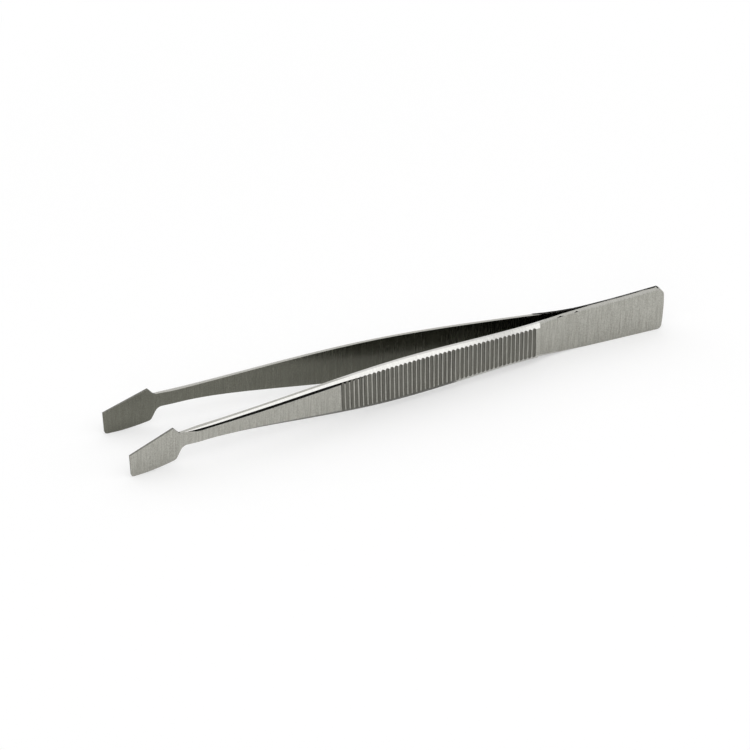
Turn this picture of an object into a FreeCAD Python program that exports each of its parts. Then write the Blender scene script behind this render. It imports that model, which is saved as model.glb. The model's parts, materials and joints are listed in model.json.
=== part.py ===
"""Membrane forceps: two sprung steel arms, welded face to face at the tail.

Each arm is one forged and ground strip.  From the front it is a thin slanted paddle, a notched
neck, a tapered front with ground bevels along its outer corners, a grip cut with round-bottomed
grooves, and a thin flat tail that is welded to the other arm.  The forceps lie on their long edge:
the toes of both paddles and the lower edge of the tail touch the surface.

Frame, in millimetres: X runs along the forceps from the tips to the tail, Y is the direction in
which the arms open, and Z is up.  The origin is on the surface, below the middle of the outer box.
One arm is modelled with its outer face towards +Y, and is mirrored for the other side.
"""
import FreeCAD, Part
import math
import os

from FreeCAD import Vector

# Lengths along the arm, from the tip to the end of the tail
PADDLE_LENGTH = 7.97
NOTCH_RUN = 1.1
NECK_LENGTH = 4.0
FRONT_LENGTH = 26.1
GROOVE_COUNT = 45
GROOVE_PITCH = 0.87
GRIP_END_LAND = 0.45
WAIST_LENGTH = 10.98
WELD_LENGTH = 14.9

# Gap from the middle plane to the inner face of an arm
TIP_GAP = 6.28
PADDLE_BASE_GAP = 5.74
NECK_GAP = 5.32
FRONT_MIDDLE_GAP = 4.77
GRIP_FRONT_GAP = 4.02
GRIP_MIDDLE_GAP = 2.69
GRIP_REAR_GAP = 1.0

# Thickness of the steel
TIP_THICKNESS = 0.35
PADDLE_BASE_THICKNESS = 0.42
NECK_THICKNESS = 1.08
GRIP_THICKNESS = 1.2
TAIL_THICKNESS = 0.64
GRIP_REAR_STEP = 0.45
GRIP_REAR_STEP_RUN = 0.2

# Heights above the surface along the top edge
TIP_TOP = 4.42
PADDLE_TOP = 7.68
NOTCH_TOP = 6.4
FRONT_MIDDLE_TOP = 7.5
GRIP_FRONT_TOP = 8.5
SHOULDER_TOP = 8.98
GRIP_REAR_TOP = 8.22
WELD_TOP = 8.25
TAIL_TOP = 9.02

# Heights above the surface along the bottom edge, and how far its points are set back
HEEL_BOTTOM = 1.1
NECK_BOTTOM = 3.62
NECK_REAR_BOTTOM = 3.88
FRONT_MIDDLE_BOTTOM = 3.24
GRIP_FRONT_BOTTOM = 1.75
SHOULDER_BOTTOM = 0.94
GRIP_REAR_BOTTOM = 0.92
TIP_LEAN = 0.28
HEEL_SETBACK = 0.55
NECK_SETBACK = 0.65
SHOULDER_SETBACK = 10.5
SEAT_SETBACK = 3.5
TAIL_TOP_SETBACK = 0.35
TAIL_BOTTOM_SETBACK = 0.12

# Corner radii of the side outline
TOE_RADIUS = 0.55
PADDLE_TOP_RADIUS = 0.15
NOTCH_RADIUS = 0.4
HEEL_RADIUS = 0.95
NECK_RADIUS = 1.5
TAIL_TOP_RADIUS = 1.7
TAIL_BOTTOM_RADIUS = 0.9

# Flat land left along the top, beside the inner face, and the drop of the bevel outside it
TOP_LAND = 0.5
TOP_BEVEL_FRONT_DROP = 0.32
TOP_BEVEL_GRIP_DROP = 0.58

# Narrow land beside the inner face along the tail's top edge, and how far the edge falls outside it
CROWN_LAND = 0.12
CROWN_DROP = 0.12

# Narrow lens-shaped facet below the top bevel, in the front only
FACET_WIDTH = 0.28
FACET_DROP = 0.42
FACET_START = 9.4
FACET_END = 46.0

# Bevel along the lower outer corner, at its widest under the grip
LOWER_BEVEL_WIDTH = 0.45
LOWER_BEVEL_RISE = 0.9

# Round-bottomed grooves of the grip, and the angle at which their upper ends lean towards the tip
GROOVE_WIDTH = 0.66
GROOVE_DEPTH = 0.19
GROOVE_LEAN = math.radians(3.5)

# How far a cutting tool reaches past the steel, and how many sections a long one has
CLEAR = 1.5
TOOL_SECTIONS = 7

# How closely a corner's edges are matched, and how often a range is halved to find a station in it
MATCH = 1e-6
HALVINGS = 50

# Stations along the arm
NOTCH_X = PADDLE_LENGTH + NOTCH_RUN
NECK_X = NOTCH_X + NECK_LENGTH
FRONT_MIDDLE_X = NECK_X + FRONT_LENGTH / 2
GRIP_X = NECK_X + FRONT_LENGTH
GRIP_LENGTH = GROOVE_COUNT * GROOVE_PITCH + GRIP_END_LAND
SHOULDER_X = GRIP_X + SHOULDER_SETBACK
REAR_X = GRIP_X + GRIP_LENGTH
STEP_FOOT_X = REAR_X + GRIP_REAR_STEP_RUN
WELD_X = REAR_X + WAIST_LENGTH
SEAT_X = WELD_X + SEAT_SETBACK
END_X = WELD_X + WELD_LENGTH

# The lower bevel's share of its full size at stations of the front and grip, and behind the grip.
# A share below zero is where the bevel has left the steel.
LOWER_BEVEL_SHARES = [(NECK_X, -0.15), (FRONT_MIDDLE_X, 0.39), (GRIP_X, 0.67),
                      (GRIP_X + GRIP_LENGTH / 2, 1), (STEP_FOOT_X, 0.95)]
LOWER_RUNOUT_SHARES = [(STEP_FOOT_X, 0.6), (REAR_X + WAIST_LENGTH / 2, 0.3), (WELD_X, -0.05)]


def curve_through(points, start=None, end=None):
    """Return a smooth curve through (x, y) points, with directions at its ends if they are given."""
    curve = Part.BSplineCurve()
    vectors = [Vector(x, y, 0) for x, y in points]
    if start is None:
        curve.interpolate(vectors)
    else:
        curve.interpolate(Points=vectors, InitialTangent=Vector(*start, 0), FinalTangent=Vector(*end, 0))
    return curve


def line(first, second):
    """Return a straight curve between two (x, y) points."""
    return Part.LineSegment(Vector(*first, 0), Vector(*second, 0))


def parameter_at(curve, x):
    """Return the parameter at a given x of a curve that runs steadily along X."""
    low, high = curve.FirstParameter, curve.LastParameter
    for _ in range(HALVINGS):
        middle = (low + high) / 2
        if curve.value(middle).x < x:
            low = middle
        else:
            high = middle
    return low


def ordinate(curves, x):
    """Return the second coordinate, at a given x, of a chain of curves that runs along X."""
    for curve in curves:
        if x <= curve.EndPoint.x:
            break
    return curve.value(parameter_at(curve, x)).y


def plan_curves():
    """Return the inner and the outer side of an arm seen from above, each a chain of curves."""
    paddle_slope = (NOTCH_X, PADDLE_BASE_GAP - TIP_GAP)
    front_slope = (FRONT_LENGTH / 2, FRONT_MIDDLE_GAP - NECK_GAP)
    rear_slope = (GRIP_LENGTH / 2, GRIP_REAR_GAP - GRIP_MIDDLE_GAP)
    stations = [(NECK_X, NECK_GAP, NECK_THICKNESS),
                (FRONT_MIDDLE_X, FRONT_MIDDLE_GAP, (NECK_THICKNESS + GRIP_THICKNESS) / 2),
                (GRIP_X, GRIP_FRONT_GAP, GRIP_THICKNESS),
                (GRIP_X + GRIP_LENGTH / 2, GRIP_MIDDLE_GAP, GRIP_THICKNESS),
                (REAR_X, GRIP_REAR_GAP, GRIP_THICKNESS)]
    inner_points = [(x, gap) for x, gap, _ in stations] + [(WELD_X, 0)]
    outer_points = [(x, gap + thickness) for x, gap, thickness in stations]
    paddle_base = (NOTCH_X, PADDLE_BASE_GAP)
    paddle_back = (NOTCH_X, PADDLE_BASE_GAP + PADDLE_BASE_THICKNESS)
    step_foot = (STEP_FOOT_X, outer_points[-1][1] - GRIP_REAR_STEP)
    blend_slope = (WAIST_LENGTH, 2 * (TAIL_THICKNESS - step_foot[1]))
    inner = [line((0, TIP_GAP), paddle_base),
             curve_through([paddle_base, inner_points[0]], paddle_slope, front_slope),
             curve_through(inner_points, front_slope, (1, 0)),
             line((WELD_X, 0), (END_X, 0))]
    outer = [line((0, TIP_GAP + TIP_THICKNESS), paddle_back),
             curve_through([paddle_back, outer_points[0]], paddle_slope, front_slope),
             curve_through(outer_points, front_slope, rear_slope),
             line(outer_points[-1], step_foot),
             curve_through([step_foot, (WELD_X, TAIL_THICKNESS)], blend_slope, (1, 0)),
             line((WELD_X, TAIL_THICKNESS), (END_X, TAIL_THICKNESS))]
    return inner, outer


def side_curves():
    """Return the top and the bottom edge of an arm behind its paddle, seen from the side."""
    top = curve_through([(NOTCH_X, NOTCH_TOP), (FRONT_MIDDLE_X, FRONT_MIDDLE_TOP),
                         (GRIP_X, GRIP_FRONT_TOP), (SHOULDER_X, SHOULDER_TOP),
                         (REAR_X, GRIP_REAR_TOP), (WELD_X, WELD_TOP), (END_X - TAIL_TOP_SETBACK, TAIL_TOP)])
    bottom = curve_through([(NOTCH_X + NECK_SETBACK, NECK_BOTTOM), (NECK_X, NECK_REAR_BOTTOM),
                            (FRONT_MIDDLE_X, FRONT_MIDDLE_BOTTOM), (GRIP_X, GRIP_FRONT_BOTTOM),
                            (SHOULDER_X, SHOULDER_BOTTOM), (REAR_X, GRIP_REAR_BOTTOM), (SEAT_X, 0)],
                           (NECK_LENGTH - NECK_SETBACK, NECK_REAR_BOTTOM - NECK_BOTTOM), (1, 0))
    return top, bottom


def edges_across(prism, corner):
    """Return the edges of a prism that run along Y at an (x, z) corner."""
    found = []
    for edge in prism.Edges:
        ends = [vertex.Point for vertex in edge.Vertexes]
        if all(math.hypot(end.x - corner[0], end.z - corner[1]) < MATCH for end in ends):
            found.append(edge)
    return found


def side_prism(top, bottom):
    """Return the arm's side outline as a prism across Y, with its corners rounded."""
    tip_top = (0, TIP_TOP)
    toe = (TIP_LEAN, 0)
    paddle_top = (PADDLE_LENGTH, PADDLE_TOP)
    notch = (NOTCH_X, NOTCH_TOP)
    heel = (PADDLE_LENGTH + HEEL_SETBACK, HEEL_BOTTOM)
    neck = (NOTCH_X + NECK_SETBACK, NECK_BOTTOM)
    tail_top = (END_X - TAIL_TOP_SETBACK, TAIL_TOP)
    tail_bottom = (END_X - TAIL_BOTTOM_SETBACK, 0)
    tail_end = Part.Arc(Vector(*tail_top, 0), Vector(END_X, TAIL_TOP / 2, 0), Vector(*tail_bottom, 0))
    sole_middle = Vector((toe[0] + heel[0]) / 2, HEEL_BOTTOM / 4, 0)
    sole = Part.Arc(Vector(*toe, 0), sole_middle, Vector(*heel, 0))
    curves = [line(toe, tip_top), line(tip_top, paddle_top), line(paddle_top, notch), top, tail_end,
              line(tail_bottom, (SEAT_X, 0)), bottom, line(neck, heel), sole]
    wire = Part.Wire(Part.__sortEdges__([curve.toShape() for curve in curves]))
    wire.rotate(Vector(0, 0, 0), Vector(1, 0, 0), 90)
    prism = Part.Face(wire).extrude(Vector(0, TIP_GAP + GRIP_THICKNESS + 2 * CLEAR, 0))
    prism.translate(Vector(0, -CLEAR, 0))
    for corner, radius in ((toe, TOE_RADIUS), (paddle_top, PADDLE_TOP_RADIUS), (notch, NOTCH_RADIUS),
                           (heel, HEEL_RADIUS), (neck, NECK_RADIUS), (tail_top, TAIL_TOP_RADIUS),
                           (tail_bottom, TAIL_BOTTOM_RADIUS)):
        prism = prism.makeFillet(radius, edges_across(prism, corner))
    return prism


def plan_prism(inner, outer):
    """Return the arm's shape seen from above as a prism along Z."""
    tip = line((0, TIP_GAP), (0, TIP_GAP + TIP_THICKNESS))
    end = line((END_X, 0), (END_X, TAIL_THICKNESS))
    edges = [curve.toShape() for curve in inner + outer + [tip, end]]
    height = max(SHOULDER_TOP, TAIL_TOP) + 2 * CLEAR
    prism = Part.Face(Part.Wire(Part.__sortEdges__(edges))).extrude(Vector(0, 0, height))
    prism.translate(Vector(0, 0, -CLEAR))
    return prism


def corner_tool(sections):
    """Return a tool that grinds an outer corner away.

    Each section is x, a (y, z) point of the ground line, and that line's (y, z) direction towards
    the outer face.  The tool reaches past the steel on both sides of the point and outside it.
    """
    wires = []
    for x, point, direction in sections:
        along = Vector(0, *direction).normalize() * CLEAR
        outside = Vector(0, abs(along.z), math.copysign(along.y, -direction[1]))
        middle = Vector(x, *point)
        corners = [middle - along, middle + along, middle + along + outside, middle - along + outside]
        wires.append(Part.makePolygon(corners + [corners[0]]))
    return Part.makeLoft(wires, True, False)


def spaced(start, end):
    """Return evenly spaced stations for the sections of a long tool."""
    step = (end - start) / (TOOL_SECTIONS - 1)
    return [start + step * index for index in range(TOOL_SECTIONS)]


def bevel_drop(x):
    """Return the drop of the top bevel at a station: it deepens from the neck to the grip."""
    share = min(max((x - FRONT_MIDDLE_X) / (GRIP_X - FRONT_MIDDLE_X), 0), 1)
    return TOP_BEVEL_FRONT_DROP + (TOP_BEVEL_GRIP_DROP - TOP_BEVEL_FRONT_DROP) * share


def top_bevel(inner, outer, top, x):
    """Return a (y, z) of the top bevel's upper edge at a station, and its slope."""
    land = ordinate(inner, x) + TOP_LAND
    width = max(ordinate(outer, x) - land, TOP_LAND)
    return (land, ordinate([top], x)), bevel_drop(x) / width


def top_bevel_tool(inner, outer, top):
    """Return the tool for the bevel along the top, which stops short at the step behind the grip."""
    sections = []
    for x in spaced(NOTCH_X, STEP_FOOT_X):
        point, slope = top_bevel(inner, outer, top, x)
        sections.append((x, point, (1, -slope)))
    return corner_tool(sections)


def facet_tool(inner, outer, top):
    """Return the tool for the lens-shaped facet between the top bevel and the outer face."""
    middle = (FACET_START + FACET_END) / 2
    half = (FACET_END - FACET_START) / 2
    sections = []
    for x in spaced(NOTCH_X, FACET_END + CLEAR):
        (land, height), slope = top_bevel(inner, outer, top, x)
        inset = ordinate(outer, x) - FACET_WIDTH * (1 - ((x - middle) / half) ** 2)
        sections.append((x, (inset, height - slope * (inset - land)), (FACET_WIDTH, -FACET_DROP)))
    return corner_tool(sections)


def crown_tool(outer, top):
    """Return the tool for the crown behind the grip, where the top edge slopes outwards from its land."""
    sections = []
    for x in spaced(STEP_FOOT_X, END_X + CLEAR):
        edge = ordinate(outer, x) - TAIL_THICKNESS + CROWN_LAND
        sections.append((x, (edge, ordinate([top], x)), (TAIL_THICKNESS, -CROWN_DROP)))
    return corner_tool(sections)


def lower_bevel_tool(outer, bottom, shares):
    """Return a tool for the lower bevel, given its share of the full size at each station."""
    sections = []
    for x, share in shares:
        width = LOWER_BEVEL_WIDTH * share
        sections.append((x, (ordinate(outer, x) - width, ordinate([bottom], x)),
                         (LOWER_BEVEL_WIDTH, LOWER_BEVEL_RISE)))
    return corner_tool(sections)


def grooves(outer):
    """Return the round cutters of the grip's grooves, one pitch apart along the outer face."""
    radius = (GROOVE_WIDTH ** 2 / 4 + GROOVE_DEPTH ** 2) / (2 * GROOVE_DEPTH)
    reach = max(SHOULDER_TOP, TAIL_TOP) / 2 + CLEAR
    _, _, sprung_length, *_ = outer
    start = parameter_at(sprung_length, GRIP_X)
    cutters = []
    for index in range(GROOVE_COUNT):
        parameter = sprung_length.parameterAtDistance((index + 0.5) * GROOVE_PITCH, start)
        point = sprung_length.value(parameter)
        tangent = sprung_length.tangent(parameter)[0]
        outward = Vector(-tangent.y, tangent.x, 0)
        axis = Vector(0, 0, math.cos(GROOVE_LEAN)) - tangent * math.sin(GROOVE_LEAN)
        middle = point + outward * (radius - GROOVE_DEPTH) + Vector(0, 0, max(SHOULDER_TOP, TAIL_TOP) / 2)
        cutters.append(Part.makeCylinder(radius, 2 * reach, middle - axis * reach, axis))
    return Part.makeCompound(cutters)


def arm():
    """Return one arm, with its outer face towards +Y and its tip at x = 0."""
    inner, outer = plan_curves()
    before_step = outer[:3]
    top, bottom = side_curves()
    steel = plan_prism(inner, outer).common(side_prism(top, bottom))
    for tool in (top_bevel_tool(inner, before_step, top), facet_tool(inner, outer, top),
                 lower_bevel_tool(before_step, bottom, LOWER_BEVEL_SHARES),
                 lower_bevel_tool(outer, bottom, LOWER_RUNOUT_SHARES), crown_tool(outer, top),
                 grooves(outer)):
        steel = steel.cut(tool)
    steel.translate(Vector(-END_X / 2, 0, 0))
    return steel.Solids[0]


def main():
    """Build both arms and write each to its file."""
    right_arm = arm()
    left_arm = right_arm.mirror(Vector(0, 0, 0), Vector(0, 1, 0))
    os.makedirs("parts", exist_ok=True)
    for name, shape in (("left_arm", left_arm), ("right_arm", right_arm)):
        shape.exportStep(f"parts/{name}.step")
        print(name, shape.isValid(), len(shape.Solids), round(shape.Volume, 2), shape.BoundBox)


main()
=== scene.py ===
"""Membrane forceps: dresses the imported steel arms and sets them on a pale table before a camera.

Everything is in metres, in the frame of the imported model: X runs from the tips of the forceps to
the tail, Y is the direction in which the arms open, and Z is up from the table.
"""

import json
import logging
import math
from collections import Counter
from dataclasses import dataclass
from enum import Enum
from typing import Any, Mapping, Optional, Sequence, Union

import bpy
import numpy as np
from mathutils import Matrix, Vector

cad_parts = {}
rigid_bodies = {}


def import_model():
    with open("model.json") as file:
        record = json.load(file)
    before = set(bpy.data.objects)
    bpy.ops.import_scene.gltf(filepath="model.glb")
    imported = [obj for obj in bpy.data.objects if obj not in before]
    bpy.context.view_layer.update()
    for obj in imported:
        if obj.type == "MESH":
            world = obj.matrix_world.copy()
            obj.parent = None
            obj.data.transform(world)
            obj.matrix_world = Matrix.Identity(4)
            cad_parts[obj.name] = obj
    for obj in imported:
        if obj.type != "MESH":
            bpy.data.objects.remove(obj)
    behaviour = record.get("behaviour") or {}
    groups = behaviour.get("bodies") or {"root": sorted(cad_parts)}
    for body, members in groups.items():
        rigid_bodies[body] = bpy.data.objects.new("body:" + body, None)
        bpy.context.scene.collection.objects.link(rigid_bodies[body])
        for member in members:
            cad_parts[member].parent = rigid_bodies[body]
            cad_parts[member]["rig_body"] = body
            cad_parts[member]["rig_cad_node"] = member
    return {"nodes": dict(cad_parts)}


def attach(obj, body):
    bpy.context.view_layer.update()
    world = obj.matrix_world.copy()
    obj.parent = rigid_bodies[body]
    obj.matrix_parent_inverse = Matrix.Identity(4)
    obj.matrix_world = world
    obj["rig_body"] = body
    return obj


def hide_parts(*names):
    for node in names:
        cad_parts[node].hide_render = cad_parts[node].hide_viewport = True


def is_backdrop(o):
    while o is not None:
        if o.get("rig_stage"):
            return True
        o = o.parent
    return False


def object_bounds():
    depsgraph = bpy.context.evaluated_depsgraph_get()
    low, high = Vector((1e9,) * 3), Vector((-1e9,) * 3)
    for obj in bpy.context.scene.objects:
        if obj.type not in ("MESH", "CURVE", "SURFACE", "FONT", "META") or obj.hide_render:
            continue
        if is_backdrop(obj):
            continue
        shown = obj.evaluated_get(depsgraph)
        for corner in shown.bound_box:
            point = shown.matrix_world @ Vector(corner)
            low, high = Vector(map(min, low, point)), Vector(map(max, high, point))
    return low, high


MILLIMETRE = 0.001

log = logging.getLogger("forceps")


class Signal:
    """A shader socket that can be used in Python expressions."""

    def __init__(self, graph: "NodeGraph", socket: Optional[bpy.types.NodeSocket]) -> None:
        """Wrap a socket.

        Args:
            graph: The graph that the socket's node is in.
            socket: The output socket, or None for a node that has none.
        """
        self.graph = graph
        self.socket = socket

    def maths(self, operation: str, *values: "SocketValue") -> "Signal":
        """Add a Math node.

        Args:
            operation: The Math node's operation.
            values: The numbers or signals of its sockets, in order.

        Returns:
            The node's result.
        """
        return self.graph.add("ShaderNodeMath", {"operation": operation}, dict(enumerate(values)))

    def __add__(self, other: "SocketValue") -> "Signal":
        """Return self + other."""
        return self.maths("ADD", self, other)

    def __radd__(self, other: "SocketValue") -> "Signal":
        """Return other + self."""
        return self.maths("ADD", other, self)

    def __sub__(self, other: "SocketValue") -> "Signal":
        """Return self - other."""
        return self.maths("SUBTRACT", self, other)

    def __rsub__(self, other: "SocketValue") -> "Signal":
        """Return other - self."""
        return self.maths("SUBTRACT", other, self)

    def __mul__(self, other: "SocketValue") -> "Signal":
        """Return self * other."""
        return self.maths("MULTIPLY", self, other)

    def __rmul__(self, other: "SocketValue") -> "Signal":
        """Return other * self."""
        return self.maths("MULTIPLY", other, self)

    def rises(self, start: float, end: float) -> "Signal":
        """Return a smooth step of this signal.

        Args:
            start: Where the step begins.
            end: Where the step ends.

        Returns:
            0 before start, 1 after end, and a smooth rise between them.
        """
        return self.graph.add("ShaderNodeMapRange", {"interpolation_type": "SMOOTHSTEP"},
                              {"Value": self, "From Min": start, "From Max": end})


SocketValue = Union[float, Sequence[float], Signal]
Colour = tuple[float, float, float, float]


class NodeGraph:
    """The node tree of a material or the world, emptied and built up again."""

    def __init__(self, owner: Union[bpy.types.Material, bpy.types.World]) -> None:
        """Empty the owner's node tree.

        Args:
            owner: The material or world.
        """
        owner.use_nodes = True
        self.tree = owner.node_tree
        self.tree.nodes.clear()

    def add(self, kind: str, settings: Optional[Mapping[str, Any]] = None,
            sockets: Optional[Mapping[Union[int, str], SocketValue]] = None,
            output: Union[int, str] = 0) -> Signal:
        """Add a node.

        Args:
            kind: The node's type.
            settings: Its own settings, such as a Math node's operation, set first.
            sockets: The value or the signal of each named or numbered input.
            output: The output that is returned.

        Returns:
            That output, ready for an expression.
        """
        node = self.tree.nodes.new(kind)
        for name, value in (settings or {}).items():
            setattr(node, name, value)
        for name, value in (sockets or {}).items():
            if isinstance(value, Signal):
                self.tree.links.new(value.socket, node.inputs[name])
            else:
                node.inputs[name].default_value = value
        return Signal(self, node.outputs[output] if node.outputs else None)

    def mix_colours(self, factor: SocketValue, first: SocketValue, second: SocketValue) -> Signal:
        """Mix two colours.

        Args:
            factor: 0 for the first colour, 1 for the second.
            first: The first colour.
            second: The second colour.

        Returns:
            The mixed colour.
        """
        return self.add("ShaderNodeMix", {"data_type": "RGBA"}, {0: factor, 6: first, 7: second}, 2)


def grey(level: float) -> Colour:
    """Return a grey as a colour with its alpha.

    Args:
        level: The value of all three channels.

    Returns:
        The opaque grey.
    """
    return (level, level, level, 1)


WHITE = grey(1)


@dataclass(frozen=True)
class SteelFinishAndPaintedLight:
    """Stainless steel, with fine grinding lines across the arm; for some zones its colour is a painted
    highlight and for others painted shade.
    """

    name: str
    colour: Colour
    pale_line: Colour
    roughness: float
    roughness_spread: float = 0.16
    line_scale: float = 4200
    line_stretch: float = 0.04
    line_detail: float = 3.0
    line_roughness: float = 0.6
    grain_scale: float = 5200
    grain_share: float = 0.5
    soft_detail: float = 2.0
    cloud_scale: float = 160
    cloud_spread: float = 0.1
    noise_middle: float = 0.5
    pale_start: float = 0.36
    pale_end: float = 0.66
    bump_strength: float = 0.12
    bump_distance: float = 0.02 * MILLIMETRE

    def material(self) -> bpy.types.Material:
        """Build the material.

        Returns:
            The steel, with its lines along the object's Z.
        """
        steel = bpy.data.materials.new(self.name)
        graph = NodeGraph(steel)
        place = graph.add("ShaderNodeTexCoord", output="Object")
        across = graph.add("ShaderNodeMapping", sockets={
            "Vector": place, "Scale": (1, self.line_stretch, self.line_stretch)})
        lines = graph.add("ShaderNodeTexNoise", sockets={
            "Vector": across, "Scale": self.line_scale,
            "Detail": self.line_detail, "Roughness": self.line_roughness})
        grain = graph.add("ShaderNodeTexNoise", sockets={
            "Vector": place, "Scale": self.grain_scale, "Detail": self.soft_detail})
        cloud = graph.add("ShaderNodeTexNoise", sockets={
            "Vector": place, "Scale": self.cloud_scale, "Detail": self.soft_detail})
        marks = lines * (1 - self.grain_share) + grain * self.grain_share
        pale = marks.rises(self.pale_start, self.pale_end)
        colour = graph.mix_colours(pale, self.colour, self.pale_line)
        roughness = (self.roughness + (lines - self.noise_middle) * self.roughness_spread
                     + (cloud - self.noise_middle) * self.cloud_spread)
        bump = graph.add("ShaderNodeBump", sockets={
            "Strength": self.bump_strength, "Distance": self.bump_distance, "Height": lines})
        shader = graph.add("ShaderNodeBsdfPrincipled", sockets={
            "Base Color": colour, "Metallic": 1.0, "Roughness": roughness, "Normal": bump})
        graph.add("ShaderNodeOutputMaterial", sockets={"Surface": shader})
        return steel


class Zone(Enum):
    """The ground surfaces of an arm, each with its own finish; the colours of the top and lower bevels are
    painted highlights, those of the inner faces, rims and grooves painted shade.
    """

    OUTER = SteelFinishAndPaintedLight("steel_outer_face", (0.325, 0.32, 0.286, 1), (0.49, 0.485, 0.443, 1), 0.30)
    # Inner faces: darker than the outer face by painted shade of the narrow gap between the arms.
    INNER = SteelFinishAndPaintedLight("steel_inner_face_painted_shade", (0.15, 0.15, 0.124, 1), (0.20, 0.20, 0.168, 1), 0.26)
    EDGE = SteelFinishAndPaintedLight("steel_narrow_edge", (0.42, 0.415, 0.385, 1), (0.50, 0.495, 0.46, 1), 0.14)
    # Rims: the dark colour is painted shade along the rounded edges, the paddle outlines and the front of
    # the lower bevel.
    RIM = SteelFinishAndPaintedLight("steel_rim_painted_shade", (0.17, 0.168, 0.15, 1), (0.23, 0.228, 0.205, 1), 0.36)
    # Top bevel: the bevel and its smoother grind are real; its pale colour is a painted highlight of the
    # softbox.
    BEVEL = SteelFinishAndPaintedLight("steel_top_bevel_painted_highlight", (0.60, 0.595, 0.57, 1), (0.68, 0.675, 0.65, 1), 0.20)
    FACET = SteelFinishAndPaintedLight("steel_front_facet", (0.34, 0.335, 0.31, 1), (0.38, 0.375, 0.35, 1), 0.13,
                        roughness_spread=0.05, cloud_spread=0.03, bump_strength=0.03)
    # Lower bevel: its pale colour is a painted highlight of the lit table on a real bevel.
    LOWER = SteelFinishAndPaintedLight("steel_lower_bevel_painted_highlight", (0.62, 0.615, 0.58, 1), (0.70, 0.695, 0.66, 1), 0.20)
    # Grooves: the dark colour is painted shade in the real grooves of the grip.
    GROOVE = SteelFinishAndPaintedLight("steel_grip_groove_painted_shade", (0.14, 0.138, 0.12, 1), (0.20, 0.197, 0.174, 1), 0.36)


class Side(Enum):
    """The two arms, by the name of their node, and which way their outer face looks along Y."""

    NEAR = ("left_arm", -1, True)
    FAR = ("right_arm", 1, False)

    def __init__(self, node: str, outward: int, land_painted_bright: bool) -> None:
        """Keep what tells the arms apart.

        Args:
            node: The name of the arm's node.
            outward: The sign of Y on the arm's outer side.
            land_painted_bright: Whether the flat land along the grip gets the bevel's painted highlight;
                only the near arm's does.
        """
        self.node = node
        self.outward = outward
        self.land_painted_bright = land_painted_bright


def select_only(piece: bpy.types.Object) -> None:
    """Select one object, make it active and deselect the rest.

    Args:
        piece: The object.
    """
    bpy.ops.object.select_all(action="DESELECT")
    piece.select_set(True)
    bpy.context.view_layer.objects.active = piece


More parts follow.
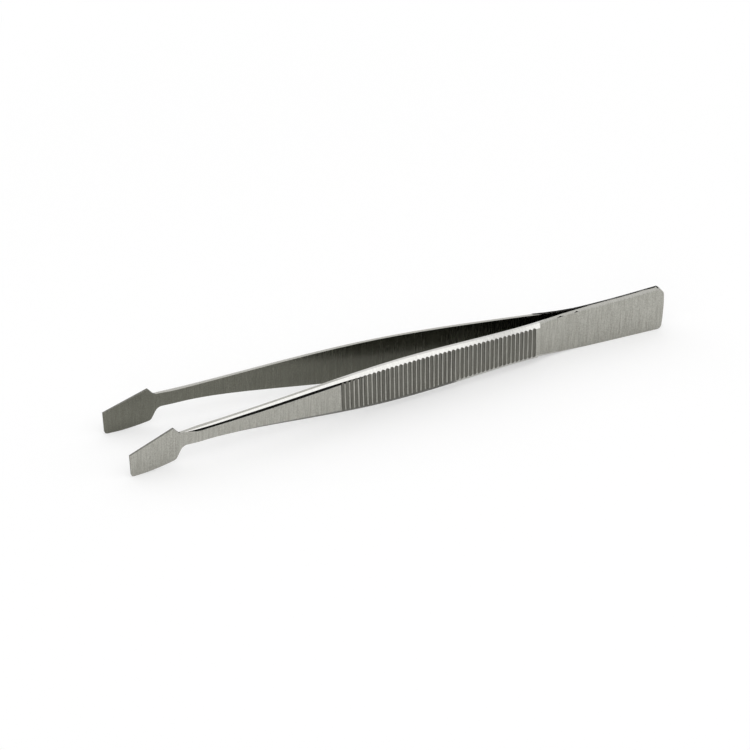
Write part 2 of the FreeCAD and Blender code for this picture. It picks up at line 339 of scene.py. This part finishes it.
@dataclass
class Arm:
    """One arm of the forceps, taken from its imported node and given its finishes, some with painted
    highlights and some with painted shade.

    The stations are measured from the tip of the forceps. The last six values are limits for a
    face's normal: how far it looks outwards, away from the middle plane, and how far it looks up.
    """

    side: Side
    merge_distance: float = 0.001 * MILLIMETRE
    sharp_angle: float = math.radians(36)
    flat_crease: float = math.radians(10)
    ribbon_window: float = 2.5 * MILLIMETRE
    paddle_end: float = 9.4 * MILLIMETRE
    grip_start: float = 39.0 * MILLIMETRE
    grip_end: float = 78.6 * MILLIMETRE
    step_foot: float = 79.0 * MILLIMETRE
    # Where the lower bevel's painted shade gives way to its painted highlight.
    lower_bevel_painted_bright_from: float = 62.0 * MILLIMETRE
    groove_pitch: float = 0.87 * MILLIMETRE
    groove_rim: float = 0.03 * MILLIMETRE
    sideways: float = 0.3
    square: float = 0.96
    rounded: float = 0.2
    facet_rise: float = 0.35
    bevel_rise: float = 0.62
    land_rise: float = 0.95

    def build(self, nodes: Mapping[str, bpy.types.Object]) -> bpy.types.Object:
        """Copy the node, join its loose triangles and dress its zones.

        Args:
            nodes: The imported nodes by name.

        Returns:
            The arm's piece, riding on the body.
        """
        select_only(nodes[self.side.node])
        bpy.ops.object.duplicate()
        piece = bpy.context.active_object
        piece.name = self.side.node + "_steel"
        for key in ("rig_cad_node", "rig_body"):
            if key in piece:
                del piece[key]
        self.tip = min(vertex.co.x for vertex in piece.data.vertices)
        self._join_triangles(piece)
        self._dress(piece)
        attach(piece, "root")
        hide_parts(self.side.node)
        return piece

    def _join_triangles(self, piece: bpy.types.Object) -> None:
        """Merge the copy's doubled points.

        Args:
            piece: The copy of the node.
        """
        select_only(piece)
        bpy.ops.object.mode_set(mode="EDIT")
        bpy.ops.mesh.select_all(action="SELECT")
        bpy.ops.mesh.remove_doubles(threshold=self.merge_distance)
        bpy.ops.mesh.select_all(action="DESELECT")
        bpy.ops.object.mode_set(mode="OBJECT")

    @staticmethod
    def _faces_at_edges(mesh: bpy.types.Mesh) -> dict[tuple[int, int], list[bpy.types.MeshPolygon]]:
        """Find the faces on both sides of every edge.

        Args:
            mesh: The merged mesh.

        Returns:
            The faces by the edge's key.
        """
        faces_of: dict[tuple[int, int], list[bpy.types.MeshPolygon]] = {}
        for face in mesh.polygons:
            for key in face.edge_keys:
                faces_of.setdefault(key, []).append(face)
        return faces_of

    def _grip_curve(self, mesh: bpy.types.Mesh) -> tuple[list[float], list[float]]:
        """Measure the lands between the grooves.

        Args:
            mesh: The merged mesh.

        Returns:
            Stations along the grip, and how far its lands reach there from the middle plane.
        """
        highest: dict[int, tuple[float, float]] = {}
        for face in mesh.polygons:
            if face.normal.y * self.side.outward < self.square:
                continue
            for index in face.vertices:
                place = mesh.vertices[index].co
                station = place.x - self.tip
                reach = place.y * self.side.outward
                window = int(station / self.groove_pitch)
                further = reach > highest.get(window, (0.0, 0.0))[1]
                if further and self.grip_start < station < self.step_foot:
                    highest[window] = (station, reach)
        stations, reaches = zip(*sorted(highest.values()))
        return list(stations), list(reaches)

    def _zone(self, face: bpy.types.MeshPolygon, grip: tuple[list[float], list[float]]) -> Zone:
        """Sort a face into its zone, from its place and the way it looks.

        Args:
            face: The face.
            grip: Stations along the grip and the reach of its lands there.

        Returns:
            The zone.
        """
        out = face.normal.y * self.side.outward
        rise = face.normal.z
        station = face.center.x - self.tip
        # Inner faces take their painted shade.
        if out < -self.square:
            return Zone.INNER
        # Rounded inner edges take the rim's painted shade.
        if out < -self.rounded:
            return Zone.RIM
        # Along the paddle, all but the outer face take the rim's painted shade.
        if station < self.paddle_end:
            return Zone.OUTER if out > self.square else Zone.RIM
        # In front of lower_bevel_painted_bright_from the lower rounding is painted shade in the rim's
        # colour; further back the lower bevel takes its painted highlight.
        if station < self.lower_bevel_painted_bright_from and self.rounded < out < self.square and rise < -self.rounded:
            return Zone.RIM
        ground = station < self.step_foot
        # The near arm's flat land along the grip gets the bevel's painted highlight; the same land on the
        # far arm keeps its own finish.
        land_painted_bright = self.side.land_painted_bright and station > self.grip_start
        if ground and rise > self.bevel_rise and (land_painted_bright or rise < self.land_rise):
            return Zone.BEVEL
        if out < self.sideways:
            return Zone.EDGE
        if ground and rise > self.facet_rise:
            return Zone.FACET
        if rise < -self.sideways:
            return Zone.LOWER
        # Faces sunk below the lands take the grooves' painted shade.
        if self.grip_start < station < self.grip_end:
            if np.interp(station, *grip) - face.center.y * self.side.outward > self.groove_rim:
                return Zone.GROOVE
        return Zone.OUTER

    def _dress(self, piece: bpy.types.Object) -> None:
        """Give each zone its finish, some of them painted highlight and some painted shade, and smooth the
        shading inside it.

        Args:
            piece: The arm's piece, merged.
        """
        mesh = piece.data
        mesh.materials.clear()
        zones = list(Zone)
        for zone in zones:
            mesh.materials.append(bpy.data.materials.get(zone.value.name) or zone.value.material())
        grip = self._grip_curve(mesh)
        for face in mesh.polygons:
            face.material_index = zones.index(self._zone(face, grip))
        select_only(piece)
        bpy.ops.object.shade_smooth_by_angle(angle=self.sharp_angle)
        ground = {zones.index(zone) for zone in (Zone.BEVEL, Zone.FACET, Zone.LOWER)}
        faces_of = self._faces_at_edges(mesh)
        for edge in mesh.edges:
            beside = faces_of[edge.key]
            materials = {face.material_index for face in beside}
            flat = any(abs(face.normal.y) > self.square for face in beside)
            creased = flat and beside[0].normal.angle(beside[-1].normal) > self.flat_crease
            if creased or (len(materials) > 1 and materials & ground):
                edge.use_edge_sharp = True
        weighted = piece.modifiers.new("flat_faces", "WEIGHTED_NORMAL")
        weighted.keep_sharp = True
        bpy.ops.object.modifier_apply(modifier=weighted.name)
        self._smooth_ribbons(piece.data, zones)
        counts = Counter(zones[face.material_index].name for face in piece.data.polygons)
        log.info("%s: %s", piece.name, dict(counts))

    def _smooth_ribbons(self, mesh: bpy.types.Mesh, zones: Sequence[Zone]) -> None:
        """Give the flat faces, the lands and the bevels one normal at each station, smoothed along the arm.

        Args:
            mesh: The dressed mesh.
            zones: The zones in the order of the mesh's materials.
        """
        ribbons: dict[str, list[bpy.types.MeshPolygon]] = {}
        for face in mesh.polygons:
            zone = zones[face.material_index]
            station = face.center.x - self.tip
            if face.normal.z > self.land_rise and self.paddle_end < station < self.step_foot:
                ribbons.setdefault("LAND", []).append(face)
            elif zone in (Zone.BEVEL, Zone.FACET, Zone.LOWER) or abs(face.normal.y) > self.square:
                ribbons.setdefault(zone.name, []).append(face)
        normals = [corner.vector.copy() for corner in mesh.corner_normals]
        for faces in ribbons.values():
            places = np.array([face.center.x for face in faces])
            areas = np.array([face.area for face in faces])
            vectors = np.array([face.normal for face in faces])
            for face in faces:
                for corner in face.loop_indices:
                    place = mesh.vertices[mesh.loops[corner].vertex_index].co.x
                    shares = areas * np.exp(-((places - place) / self.ribbon_window) ** 2)
                    normals[corner] = Vector(shares @ vectors).normalized()
        mesh.normals_split_custom_set(normals)


@dataclass(frozen=True)
class Card:
    """An upright black card: its name, its middle along X, its place along Y, its width and its heights."""

    name: str
    middle: float
    depth: float
    width: float
    low: float
    high: float


@dataclass
class Studio:
    """The pale table, the softbox, the plain white room and the black cards that the steel mirrors."""

    table_size: float = 6.0
    table_colour: Colour = grey(0.98)
    table_lift: float = 0.42
    shadow_radius: float = 0.075
    clear_radius: float = 0.15
    softbox_size: tuple[float, float] = (0.90, 0.50)
    softbox_centre: tuple[float, float, float] = (0.20, -0.20, 0.62)
    softbox_power: float = 0.65
    white_level: float = 1.0
    card_colour: Colour = grey(0.01)
    black_cards: tuple[Card, ...] = (Card("front_card", 0.40, -0.85, 1.1, 0.05, 0.62),
                                     Card("back_card", 0.35, 0.85, 1.2, 0.0, 0.38))

    def table(self) -> bpy.types.Object:
        """Lay the table that the forceps rest on.

        Returns:
            The table, marked as stage.
        """
        bpy.ops.object.select_all(action="DESELECT")
        bpy.ops.mesh.primitive_plane_add(size=self.table_size)
        table = bpy.context.active_object
        table.name = "table"
        table.data.materials.append(self._table_material())
        table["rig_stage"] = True
        return table

    def _table_material(self) -> bpy.types.Material:
        """Build the table's paper.

        Returns:
            A paper that takes the shadow near the forceps and is white further out.
        """
        paper = bpy.data.materials.new("table_paper")
        graph = NodeGraph(paper)
        place = graph.add("ShaderNodeTexCoord", output="Object")
        radius = graph.add("ShaderNodeVectorMath", {"operation": "LENGTH"}, {0: place}, "Value")
        camera = graph.add("ShaderNodeLightPath", output="Is Camera Ray")
        glossy = graph.add("ShaderNodeLightPath", output="Is Glossy Ray")
        passing = graph.add("ShaderNodeLightPath", output="Is Transmission Ray")
        mirrored = glossy.maths("MAXIMUM", glossy, passing)
        matt = graph.add("ShaderNodeBsdfDiffuse", sockets={"Color": self.table_colour})
        white = graph.add("ShaderNodeEmission", sockets={"Color": WHITE, "Strength": self.white_level})
        clear = radius.rises(self.shadow_radius, self.clear_radius)
        lifted = clear * (1 - self.table_lift) + self.table_lift
        share = camera.maths("MAXIMUM", camera * lifted, mirrored * clear)
        surface = graph.add("ShaderNodeMixShader", sockets={0: share, 1: matt, 2: white})
        graph.add("ShaderNodeOutputMaterial", sockets={"Surface": surface})
        return paper

    def softbox(self) -> bpy.types.Object:
        """Hang the softbox above the forceps, a little to the camera's side.

        Returns:
            The lamp.
        """
        lamp = bpy.data.lights.new("softbox", "AREA")
        lamp.shape = "RECTANGLE"
        lamp.size, lamp.size_y = self.softbox_size
        lamp.energy = self.softbox_power
        holder = bpy.data.objects.new("softbox", lamp)
        bpy.context.scene.collection.objects.link(holder)
        holder.location = self.softbox_centre
        return holder

    def cards(self) -> list[bpy.types.Object]:
        """Stand a tall black card in front, behind the camera, and a lower one at the back.

        Returns:
            The cards, marked as stage and out of the camera's sight.
        """
        black = bpy.data.materials.new("black_card")
        graph = NodeGraph(black)
        matt = graph.add("ShaderNodeBsdfDiffuse", sockets={"Color": self.card_colour})
        graph.add("ShaderNodeOutputMaterial", sockets={"Surface": matt})
        stood = []
        for plan in self.black_cards:
            bpy.ops.object.select_all(action="DESELECT")
            bpy.ops.mesh.primitive_plane_add(
                size=1, location=(plan.middle, plan.depth, (plan.low + plan.high) / 2),
                rotation=(math.radians(90), 0, 0))
            card = bpy.context.active_object
            card.name = plan.name
            card.scale = (plan.width, plan.high - plan.low, 1)
            card.visible_camera = False
            card.data.materials.append(black)
            card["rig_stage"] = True
            stood.append(card)
        return stood

    def room(self) -> None:
        """Fill the room around the table with plain white light."""
        world = bpy.data.worlds.new("studio")
        bpy.context.scene.world = world
        graph = NodeGraph(world)
        shader = graph.add("ShaderNodeBackground", sockets={"Color": WHITE, "Strength": self.white_level})
        graph.add("ShaderNodeOutputWorld", sockets={"Surface": shader})


def direction(azimuth: float, elevation: float) -> Vector:
    """Return the unit vector from the object towards a place in the studio.

    Args:
        azimuth: Turn about Z; zero is on the -Y side.
        elevation: Angle above the table.

    Returns:
        The unit vector.
    """
    return Vector((math.sin(azimuth) * math.cos(elevation),
                   -math.cos(azimuth) * math.cos(elevation), math.sin(elevation)))


def placed(right: Vector, up: Vector, back: Vector, origin: Vector) -> Matrix:
    """Return the matrix of something that stands at a place.

    Args:
        right: Its own X axis.
        up: Its own Y axis.
        back: Its own Z axis.
        origin: The place.

    Returns:
        The matrix.
    """
    matrix = Matrix((right, up, back)).transposed().to_4x4()
    matrix.translation = origin
    return matrix


@dataclass
class PhotographCamera:
    """The camera at the photograph's viewing angle, for a square frame."""

    frame: float = 750
    target_station: float = 49.75 * MILLIMETRE
    target_right: float = 383.574
    target_down: float = 391.661
    pixels_per_metre: float = 5720.1
    azimuth: float = math.radians(-25.79975)
    elevation: float = math.radians(35.77107)
    roll: float = math.radians(2.56471)
    distance: float = 546.26348 * MILLIMETRE
    sensor: float = 36
    near_clip: float = 10 * MILLIMETRE

    def place(self, tip: float) -> bpy.types.Object:
        """Add the camera and make it the scene's own.

        Args:
            tip: Where the tips of the forceps are along X.

        Returns:
            The camera.
        """
        lens = bpy.data.cameras.new("camera")
        lens.sensor_width = self.sensor
        lens.lens = self.sensor * self.pixels_per_metre * self.distance / self.frame
        lens.clip_start = self.near_clip
        camera = bpy.data.objects.new("camera", lens)
        bpy.context.scene.collection.objects.link(camera)
        back = direction(self.azimuth, self.elevation)
        level = Vector((math.cos(self.azimuth), math.sin(self.azimuth), 0))
        upright = back.cross(level)
        right = level * math.cos(self.roll) + upright * math.sin(self.roll)
        up = upright * math.cos(self.roll) - level * math.sin(self.roll)
        origin = (Vector((tip + self.target_station, 0, 0)) + back * self.distance
                  - right * (self.target_right - self.frame / 2) / self.pixels_per_metre
                  + up * (self.target_down - self.frame / 2) / self.pixels_per_metre)
        camera.matrix_world = placed(right, up, back, origin)
        bpy.context.scene.camera = camera
        return camera


def plain_bounds() -> list[list[float]]:
    """Return the whole object's box as plain lists of numbers."""
    return [[float(value) for value in corner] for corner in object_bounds()]


def main() -> None:
    """Build the pieces in order and report each."""
    logging.basicConfig(level=logging.INFO, format="%(name)s: %(message)s")
    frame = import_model()
    cad_box = plain_bounds()
    bpy.context.scene.view_settings.view_transform = "Standard"
    for side in Side:
        piece = Arm(side).build(frame["nodes"])
        log.info("%s: %d faces", piece.name, len(piece.data.polygons))
    studio = Studio()
    log.info("%s laid", studio.table().name)
    log.info("%s hung", studio.softbox().name)
    log.info("%s stood up", [card.name for card in studio.cards()])
    studio.room()
    log.info("%s placed", PhotographCamera().place(cad_box[0][0]).name)


if __name__ == "__main__":
    main()
